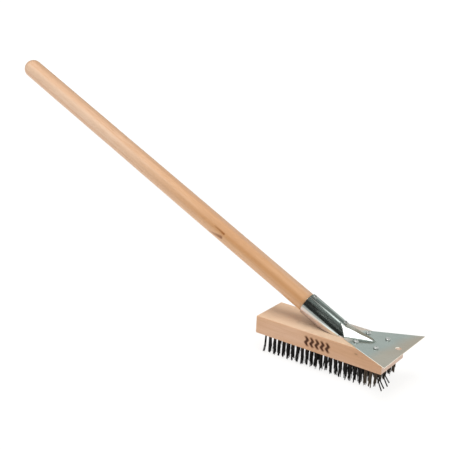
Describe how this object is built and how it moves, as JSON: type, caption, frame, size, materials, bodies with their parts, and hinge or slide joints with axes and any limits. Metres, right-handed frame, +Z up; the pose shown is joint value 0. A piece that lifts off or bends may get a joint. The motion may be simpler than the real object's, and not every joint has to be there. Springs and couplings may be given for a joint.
{
  "type": "grill cleaning brush",
  "caption": "Long-handled wire brush for cleaning a grill, with a wooden block, rows of wire tufts and a flared steel scraper whose socket holds the handle.",
  "frame": {"origin": "centre of the block's flat rear end face", "axes": "+X along the block towards the scraper edge, +Y across the block, +Z up out of the block's top; the handle rises towards -X and the bristles point to -Z"},
  "size_m": [0.6957, 0.1184, 0.347],
  "materials": {
    "beech_block": "plain sanded beech, unvarnished, fine short flecks",
    "ash_handle": "clear-lacquered hardwood dowel, satin, grain along the handle",
    "galvanised_sheet": "bright zinc-plated sheet, smooth, faint rolling marks",
    "zinc_screw": "bright zinc plating",
    "spring_wire": "oil-tempered flat steel wire, near black, slightly brown at the ends"
  },
  "bodies": {
    "root": {"brush_block": "beech_block", "handle": "ash_handle", "scraper_socket": "galvanised_sheet", "plate_screw_1": "zinc_screw", "plate_screw_2": "zinc_screw", "plate_screw_3": "zinc_screw", "plate_screw_4": "zinc_screw", "socket_screw_rear": "zinc_screw", "socket_screw_front": "zinc_screw", "bristle_row_01": "spring_wire", "bristle_row_02": "spring_wire", "bristle_row_03": "spring_wire", "bristle_row_04": "spring_wire", "bristle_row_05": "spring_wire", "bristle_row_06": "spring_wire", "bristle_row_07": "spring_wire", "bristle_row_08": "spring_wire", "bristle_row_09": "spring_wire", "bristle_row_10": "spring_wire", "bristle_row_11": "spring_wire", "bristle_row_12": "spring_wire", "bristle_row_13": "spring_wire", "bristle_row_14": "spring_wire", "bristle_row_15": "spring_wire", "bristle_row_16": "spring_wire", "bristle_row_17": "spring_wire", "bristle_row_18": "spring_wire", "bristle_row_19": "spring_wire", "bristle_row_20": "spring_wire", "bristle_row_21": "spring_wire", "bristle_row_22": "spring_wire", "bristle_row_23": "spring_wire", "bristle_row_24": "spring_wire"}
  },
  "joints": []
}
